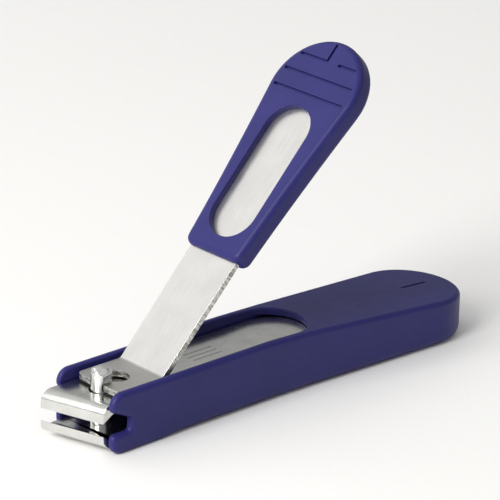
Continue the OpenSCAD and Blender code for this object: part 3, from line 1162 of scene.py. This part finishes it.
@dataclass
class RearRivet:
    """Rivet with two domed heads that joins the blades at their rear."""

    x: float = 60.7
    shank_r: float = 1.5
    head_r: float = 2.6
    head_t: float = 0.7
    rim_lean: float = 0.08
    dome_rim: float = 0.5
    edge_break: float = 0.06
    low: float = 3.84
    high: float = 8.85

    def build(self, bench: Bench, finishes: Finishes) -> None:
        """Models the rivet and puts it in place.

        Args:
            bench: Where the drawings lie in the frame.
            finishes: The clipper's finishes.
        """
        crown_r, crown_drop = self.head_r * 0.45, 0.01
        head = [
            (self.shank_r, 0),
            (self.head_r, 0),
            (self.head_r - self.rim_lean, self.head_t * 0.5),
            (self.head_r - self.dome_rim, self.head_t * 0.86),
            (crown_r, self.head_t - crown_drop),
            (0, self.head_t),
        ]
        low_head = [(r, self.low + self.head_t - h) for r, h in reversed(head)]
        high_head = [(r, self.high - self.head_t + h) for r, h in head]
        rivet = Solid.turned(low_head + high_head).ease(angle=50, size=self.edge_break).move(x=self.x)
        seat(bench.piece(rivet, "rear_rivet_heads", [finishes.bright]), "rear_rivet", "blade_joint")


@dataclass
class HookedPin:
    """Turned post with a foot under the lower blade and a hooked head that holds the cross-bar.

    Each facet of the head has its turn and its tilt in degrees, and its distance from the middle.
    """

    foot_r: float = 3.2
    foot_low: float = 0.18
    foot_high: float = 0.88
    shank_r: float = 2.0
    head_top: float = 13.92
    dome: float = 0.7
    slot_x: float = -1.19
    slot_low: float = 9.555
    slot_high: float = 11.425
    slot_round: float = 0.6
    mouth_l: float = 0.6
    mouth_low: float = 0.08
    mouth_high: float = 0.55
    facets: tuple[Place, ...] = (
        (20, 38, 1.93), (95, 52, 1.88), (160, 30, 1.95), (235, 44, 1.87), (300, 56, 1.9)
    )
    facet_drop: float = 0.9
    neck_l: float = 0.25
    brow_lean: float = 0.08
    brow_slope: float = 0.36
    crown_lean: float = 0.8
    edge_break: float = 0.07

    def hook_cutter(self) -> Solid:
        """Makes the cutter of the hook.

        Returns:
            A slot that is open at the rear and widens there, with a round inner end.
        """
        x, low, high, r = self.slot_x, self.slot_low, self.slot_high, self.slot_round
        outline = [
            (FAR, low),
            *arc((x + r, low + r), r, 270, 180, 4),
            *arc((x + r, high - r), r, 180, 90, 4),
            (self.shank_r - self.mouth_l, high + self.mouth_low),
            (self.shank_r, high + self.mouth_high),
            (FAR, high + self.mouth_high),
        ]
        return Solid.cutter(outline, Axis.Y)

    def profile(self) -> Outline:
        """Draws the turned post.

        Returns:
            The radius and height of each corner, from the foot to the head.
        """
        r = self.shank_r
        shoulder = self.head_top - self.dome
        foot_break = 0.3
        return [
            (0, self.foot_low),
            (self.foot_r - foot_break, self.foot_low),
            (self.foot_r, self.foot_low + foot_break),
            (self.foot_r, self.foot_high),
            (r, self.foot_high),
            (r, shoulder - self.neck_l),
            (r - self.brow_lean, shoulder),
            (r - self.brow_slope, shoulder + self.brow_slope),
            (r - self.crown_lean, self.head_top - self.brow_lean),
            (0, self.head_top),
        ]

    def build(self, bench: Bench, finishes: Finishes) -> None:
        """Models the pin and puts it in place.

        Args:
            bench: Where the drawings lie in the frame.
            finishes: The clipper's finishes.
        """
        pin = Solid.turned(self.profile()).cut(self.hook_cutter())
        middle = Vector((0, 0, self.head_top - self.dome - self.facet_drop))
        for turn, tilt, reach in self.facets:
            a, t = math.radians(turn), math.radians(tilt)
            normal = Vector((math.cos(a) * math.cos(t), math.sin(a) * math.cos(t), math.sin(t)))
            pin.shave(middle + normal * reach, normal)
        pin.ease(angle=28, size=self.edge_break)
        seat(bench.piece(pin, "hooked_pin", [finishes.bright]), "pin", "lower_jaw")


# ---- The lever and its grip ----


@dataclass
class BentLever:
    """Sheet steel lever: a flat plate with an oval hole, a bend and a raised arm."""

    front_x: float = -0.945
    bend_x: float = 9.505
    low: float = 9.88
    thickness: float = 1.22
    half: float = 6.0
    end_half: float = 6.6
    angle: float = 46.5
    bend_r: float = 1.2
    end_l: float = 57.7
    end_corner: float = 4.0
    plate_corner: float = 1.2
    hole_x: float = 3.455
    hole_l: float = 4.9
    hole_w: float = 5.2
    hole_top: float = 0.3
    edge_break: float = 0.1

    @property
    def top(self) -> float:
        """Gives the height of the plate's top face."""
        return self.low + self.thickness

    def on_arm(self, solid: Solid) -> Solid:
        """Moves a solid drawn along the arm, with its top face at 0, onto the arm."""
        return solid.turn(-self.angle, Axis.Y).move(x=self.bend_x, z=self.top)

    def blank(self) -> Solid:
        """Makes the lever from its plate, whose end is spun round the bend and drawn out.

        Returns:
            The bent sheet, with square corners.
        """
        tangent = self.bend_r * math.tan(math.radians(self.angle / 2))
        start_x = self.bend_x - tangent
        plate = rectangle(self.front_x, -self.half, start_x, self.half)
        body = Solid.prism(plate, Axis.Z, self.low, self.top)
        bm = body.bm
        end = next(face for face in bm.faces if face.normal.x > 0.9)
        bent = bmesh.ops.spin(
            bm,
            geom=[end, *end.edges, *end.verts],
            cent=(start_x, 0, self.top + self.bend_r),
            axis=(0, -1, 0),
            angle=math.radians(self.angle),
            steps=10,
            use_merge=False,
        )
        end = next(item for item in bent["geom_last"] if isinstance(item, BMFace))
        drawn = bmesh.ops.extrude_face_region(bm, geom=[end])
        tip = [item for item in drawn["geom"] if isinstance(item, BMVert)]
        run = self.end_l - tangent
        a = math.radians(self.angle)
        bmesh.ops.translate(bm, verts=tip, vec=(run * math.cos(a), 0, run * math.sin(a)))
        bmesh.ops.scale(bm, verts=tip, vec=(1, self.end_half / self.half, 1))
        bmesh.ops.remove_doubles(bm, verts=bm.verts[:], dist=MERGE)
        inner = [face for face in bm.faces if self._is_inside(face)]
        bmesh.ops.delete(bm, geom=inner, context="FACES_ONLY")
        bmesh.ops.recalc_face_normals(bm, faces=bm.faces[:])
        return body

    def _is_inside(self, face: BMFace) -> bool:
        """Says whether a face is left inside the sheet, where a spin or an extrusion began."""
        return all(len(edge.link_faces) > 2 for edge in face.edges)

    def build(self, bench: Bench, finishes: Finishes) -> None:
        """Models the lever and puts it in place.

        Args:
            bench: Where the drawings lie in the frame.
            finishes: The clipper's finishes.
        """
        body = self.blank()
        end_x = max(vert.co.x for vert in body.bm.verts)
        body.chamfer(lambda edge: self._runs_through(edge, self.front_x), self.plate_corner, segments=6)
        body.chamfer(lambda edge: self._runs_through(edge, end_x), self.end_corner, segments=8)
        hole = Solid.cutter(circle(0, self.hole_w / 2), Axis.Z).stretch(self.hole_l / self.hole_w)
        above = Solid.cutter(rectangle(-FAR, self.top + self.hole_top, FAR, FAR), Axis.Y)
        body.cut(hole.move(x=self.hole_x).cut(above))
        body.dress(lambda face: abs(face.normal.y) > 0.3 or face.normal.x < -0.9)
        body.ease(angle=45, size=self.edge_break)
        made = bench.piece(body, "bent_lever", [finishes.lever, finishes.lever_edge])
        seat(made, "lever_arm", "lever")

    def _runs_through(self, edge: BMEdge, x: float) -> bool:
        """Says whether an edge runs through the sheet at one end of the lever.

        Args:
            edge: An edge of the blank.
            x: Where that end is.

        Returns:
            True if it does.
        """
        near, far = (vert.co for vert in edge.verts)
        through = abs(near.y - far.y) < NEAR and abs(edge.calc_length() - self.thickness) < 2 * NEAR
        return through and all(abs(place.x - x) < self.thickness for place in (near, far))


@dataclass
class ThumbGrip:
    """Moulded grip on the arm, with a window over the steel and thumb grooves at its round tip."""

    lever: BentLever
    base_l: float = 25.0
    tip_l: float = 61.2
    base_half: float = 7.35
    tip_r: float = 10.8
    over: float = 1.4
    under: float = 3.12
    base_corner: float = 1.6
    top_round: float = 1.15
    under_round: float = 1.5
    window_start: float = 28.5
    window_end: float = 57.3
    window_half: float = 5.5
    fit: float = 0.05
    groove_w: float = 0.6
    groove_depth: float = 0.5
    groove_step: float = 3.7
    groove_margin: float = 1.5
    groove_break: float = 2.7
    groove_ahead: float = 1.3
    tip_groove_l: float = 3.8
    pocket_x: float = 1.0
    meet_angle: float = 97.0
    base_slope: float = 0.062
    edge_break: float = 0.16

    def plan(self) -> Outline:
        """Draws the grip from above.

        Returns:
            The outline, whose sides widen in a smooth curve to the round tip.
        """
        meet = math.radians(self.meet_angle)
        end = (self.tip_l + self.tip_r * math.cos(meet), self.tip_r * math.sin(meet))
        slopes = (self.base_slope, -1 / math.tan(meet))
        run = end[0] - self.base_l
        half = []
        steps = 16
        for i in range(steps):
            t = i / steps
            width = (2 * t**3 - 3 * t**2 + 1) * self.base_half + (3 * t**2 - 2 * t**3) * end[1]
            width += (t**3 - 2 * t**2 + t) * run * slopes[0] + (t**3 - t**2) * run * slopes[1]
            half.append((self.base_l + t * run, width))
        return mirrored(half + arc((self.tip_l, 0), self.tip_r, self.meet_angle, 0, 30))

    def pocket(self) -> Solid:
        """Makes the space that the lever's arm fills.

        Returns:
            The cutter of the pocket.
        """
        lever = self.lever
        half, end_half, end = lever.half + self.fit, lever.end_half + self.fit, lever.end_l + self.fit
        plan = [(self.pocket_x, -half), (end, -end_half), (end, end_half), (self.pocket_x, half)]
        body = Solid.prism(plan, Axis.Z, -lever.thickness - self.fit, self.fit)
        return body.chamfer(lambda edge: stands_at(edge, end), lever.end_corner, segments=8)

    def window(self) -> Solid:
        """Makes the cutter of the window.

        Returns:
            The cutter, which has round ends.
        """
        r = self.window_half
        near = arc((self.window_start + r, 0), r, 270, 90, 24)
        far = arc((self.window_end - r, 0), r, 90, -90, 24)
        return Solid.prism(near + far, Axis.Z, 0, FAR)

    def grooves(self) -> list[Solid]:
        """Makes the cutters of the thumb grooves.

        Returns:
            The cutters. The last groove is broken, and runs on to the tip at the break.
        """
        half = self.groove_w / 2
        first, middle, last = (self.tip_l - self.groove_ahead + i * self.groove_step for i in range(3))
        reach = {
            x: math.sqrt(self.tip_r**2 - (x - self.tip_l) ** 2) - self.groove_margin
            for x in (first, middle, last)
        }
        plans = [
            rectangle(first - half, -reach[first], first + half, reach[first]),
            rectangle(middle - half, -reach[middle], middle + half, reach[middle]),
            rectangle(last - half, -reach[last], last + half, -self.groove_break),
            rectangle(last - half, 0, last + half, reach[last]),
            rectangle(last - half, 0, last + self.tip_groove_l, self.groove_w),
        ]
        return [Solid.prism(plan, Axis.Z, self.over - self.groove_depth, FAR) for plan in plans]

    def build(self, bench: Bench, finishes: Finishes) -> None:
        """Models the grip and puts it in place.

        Args:
            bench: Where the drawings lie in the frame.
            finishes: The clipper's finishes.
        """
        body = Solid.prism(self.plan(), Axis.Z, -self.under, self.over)
        body.chamfer(lambda edge: stands_at(edge, self.base_l), self.base_corner, segments=6)
        body.round_over(self._rim_size, segments=6)
        body.cut(self.window(), self.pocket()).ease(angle=SHARP_ANGLE, size=self.edge_break)
        body.cut(*self.grooves())
        self.lever.on_arm(body)
        seat(bench.piece(body, "thumb_grip", [finishes.plastic]), "lever_grip", "lever")

    def _rim_size(self, edge: BMEdge) -> float:
        """Gives the rounding of an edge.

        Args:
            edge: An edge of the grip's outside.

        Returns:
            The size of the rounding on the top and bottom rims, and 0 elsewhere.
        """
        if edge.calc_face_angle(0) < math.radians(60):
            return 0
        return self.top_round if edge.verts[0].co.z > 0 else self.under_round


# ---- The studio ----


@dataclass(frozen=True)
class SoftLight:
    """Square soft light, with its place and the point that it faces in metres."""

    name: str
    place: Place
    aim: Place
    size: float
    watts: float
    tint: Colour

    def build(self) -> None:
        """Makes the light."""
        data = bpy.data.lights.new(self.name, "AREA")
        data.size = self.size
        data.energy = self.watts
        data.color = self.tint
        made = bpy.data.objects.new(self.name, data)
        made.location = self.place
        made.rotation_euler = (Vector(self.aim) - Vector(self.place)).to_track_quat("-Z", "Y").to_euler()
        bpy.context.scene.collection.objects.link(made)


@dataclass
class Studio:
    """Pale floor, soft lights and the camera, whose target and distance are in millimetres."""

    azimuth: float = -42.664
    elevation: float = 21.726
    roll: float = 1.353
    target: Place = (-3.973, 0, 27.709)
    distance: float = 606.09
    lens: float = 232.96
    sensor: float = 36.0
    clip_start: float = 0.01
    floor_size: float = 12.0
    floor_tones: tuple[Colour, Colour] = ((0.94, 0.935, 0.925), (0.96, 0.955, 0.945))
    sky_side: Place = (-0.55, 0.45, 0.70)
    sky_levels: tuple[tuple[float, float], ...] = ((0.0, 0.36), (0.22, 0.42), (0.7, 0.66), (0.95, 0.8))
    lights: tuple[SoftLight, ...] = (
        SoftLight("key", (-0.8, -0.05, 0.6), (0, 0, 0.02), size=0.5, watts=8.5, tint=(1, 0.99, 0.97)),
        SoftLight("window", (-0.2, 0.95, 0.5), (0, 0, 0.03), size=0.6, watts=1.2, tint=(0.99, 0.99, 1)),
    )

    def camera(self) -> None:
        """Makes the camera and points it at the clipper."""
        a, e, r = (math.radians(angle) for angle in (self.azimuth, self.elevation, self.roll))
        back = Vector((math.sin(a) * math.cos(e), -math.cos(a) * math.cos(e), math.sin(e)))
        level = Vector((math.cos(a), math.sin(a), 0))
        upright = back.cross(level)
        right = level * math.cos(r) + upright * math.sin(r)
        up = upright * math.cos(r) - level * math.sin(r)
        data = bpy.data.cameras.new("camera")
        data.lens = self.lens
        data.sensor_width = self.sensor
        data.clip_start = self.clip_start
        made = bpy.data.objects.new("camera", data)
        stand = Matrix.Translation((Vector(self.target) + back * self.distance) * MM)
        made.matrix_world = stand @ Matrix((right, up, back)).transposed().to_4x4()
        bpy.context.scene.collection.objects.link(made)
        bpy.context.scene.camera = made

    def sky(self) -> None:
        """Makes the surrounding light, which is brightest behind and above the clipper's front."""
        world = bpy.data.worlds.new("studio")
        world.use_nodes = True
        nodes, links = world.node_tree.nodes, world.node_tree.links
        facing = nodes.new("ShaderNodeVectorMath")
        facing.operation = "DOT_PRODUCT"
        links.new(nodes.new("ShaderNodeTexCoord").outputs["Generated"], facing.inputs[0])
        facing.inputs[1].default_value = self.sky_side
        ramp = nodes.new("ShaderNodeValToRGB")
        while len(ramp.color_ramp.elements) < len(self.sky_levels):
            ramp.color_ramp.elements.new(0.5)
        for stop, (place, level) in zip(ramp.color_ramp.elements, self.sky_levels):
            stop.position = place
            stop.color = (level, level, level * 0.99, 1)
        links.new(facing.outputs["Value"], ramp.inputs[0])
        links.new(ramp.outputs[0], nodes["Background"].inputs["Color"])
        bpy.context.scene.world = world

    def floor(self) -> None:
        """Makes the pale floor."""
        bm = bmesh.new()
        bmesh.ops.create_grid(bm, x_segments=1, y_segments=1, size=self.floor_size / 2)
        mesh = bpy.data.meshes.new("floor")
        bm.to_mesh(mesh)
        bm.free()
        shader = Shader("floor_paper")
        shade = shader.noise((0.01, 0.01, 0.01), detail=2)
        shader.set(Base_Color=shader.mix(shade, *self.floor_tones), Roughness=0.6)
        mesh.materials.append(shader.material)
        made = bpy.data.objects.new("floor", mesh)
        bpy.context.scene.collection.objects.link(made)

    def build(self) -> None:
        """Sets up the studio."""
        self.camera()
        self.sky()
        self.floor()
        for light in self.lights:
            light.build()
        bpy.context.scene.view_settings.view_transform = "Standard"
        bpy.context.scene.view_settings.look = "None"


def main() -> None:
    """Builds the clipper's pieces and the studio."""
    logging.basicConfig(level=logging.INFO, format="%(name)s: %(message)s")
    bench = Bench.from_frame()
    lever = BentLever()
    finishes = Finishes.make(mark_x=bench.pin_x + MARK_X, arm_angle=lever.angle)
    CatcherCase().build(bench, finishes)
    upper = Blade(
        name="upper_jaw_blade",
        node="upper_blade",
        body="upper_jaw",
        up=1,
        outer=[(3.2, 9.45), (8.005, 9.78), (48.7, 9.78), (57.7, 8.019), (64.7, 8.019)],
        edge_z=6.03,
        pin_bore=2.35,
    )
    upper.build(bench, [finishes.etched_blade, finishes.blade])
    lower = Blade(
        name="lower_jaw_blade",
        node="lower_blade",
        body="lower_jaw",
        up=-1,
        outer=[(3.5, 0.88), (9.3, 1.6), (57.7, 4.669), (64.7, 4.669)],
        edge_z=3.56,
        pin_bore=2.0,
    )
    lower.build(bench, [finishes.blade, finishes.blade])
    RearRivet().build(bench, finishes)
    HookedPin().build(bench, finishes)
    lever.build(bench, finishes)
    ThumbGrip(lever).build(bench, finishes)
    Studio().build()


if __name__ == "__main__":
    main()
